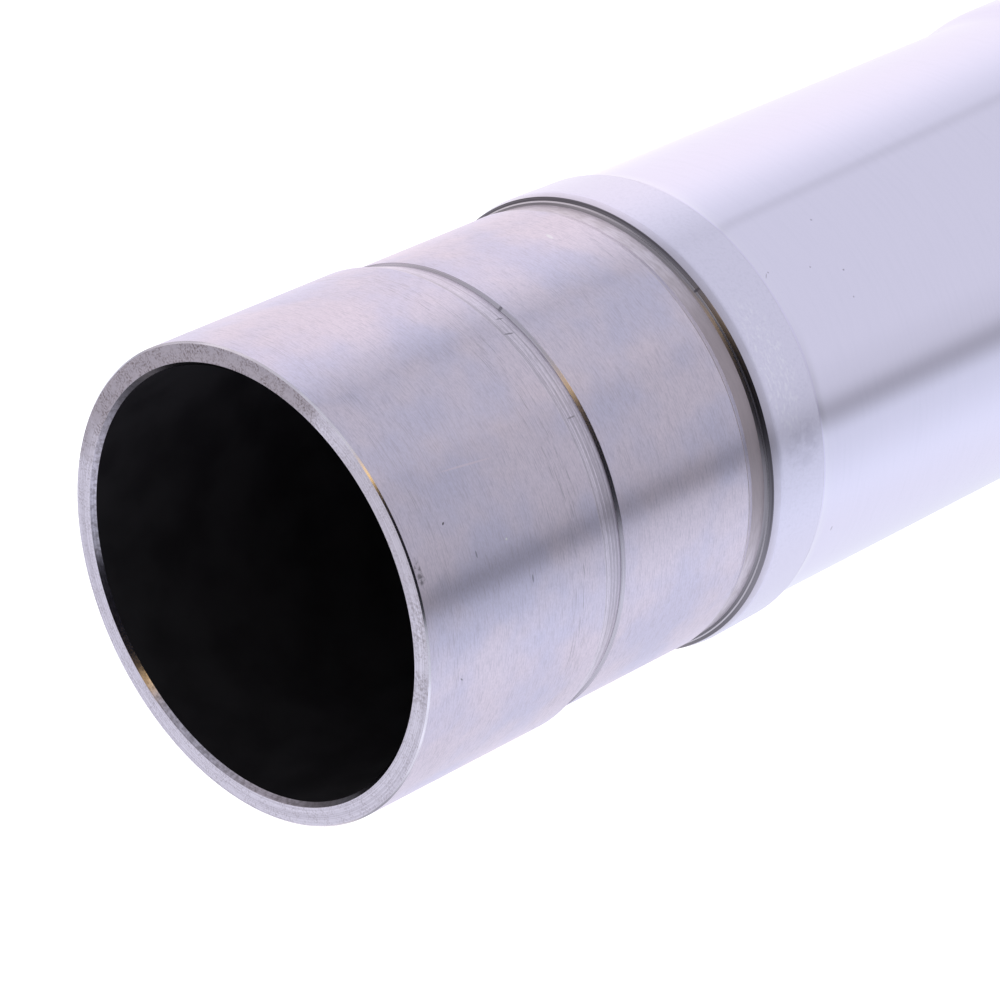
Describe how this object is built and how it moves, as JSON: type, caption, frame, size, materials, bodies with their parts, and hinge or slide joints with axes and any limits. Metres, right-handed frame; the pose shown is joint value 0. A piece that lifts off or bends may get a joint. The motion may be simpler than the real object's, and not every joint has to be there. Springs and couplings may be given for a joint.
{
  "type": "motorcycle fork tube",
  "caption": "Hard chromed steel fork tube with a ground bush seat, stop collar and polished recess near its tip, and a plain far end.",
  "frame": {"origin": "middle of the plain end's face, on which the tube stands", "axes": "+Z along the tube's axis, from the plain end up to the tip with the bush seat; X and Y are any two directions across it"},
  "size_m": [0.043, 0.0428, 0.52],
  "materials": {
    "chromed_steel": "polished hard chrome, with satin ground lands at the tip"
  },
  "bodies": {
    "root": {"fork_tube": "chromed_steel"}
  },
  "joints": []
}
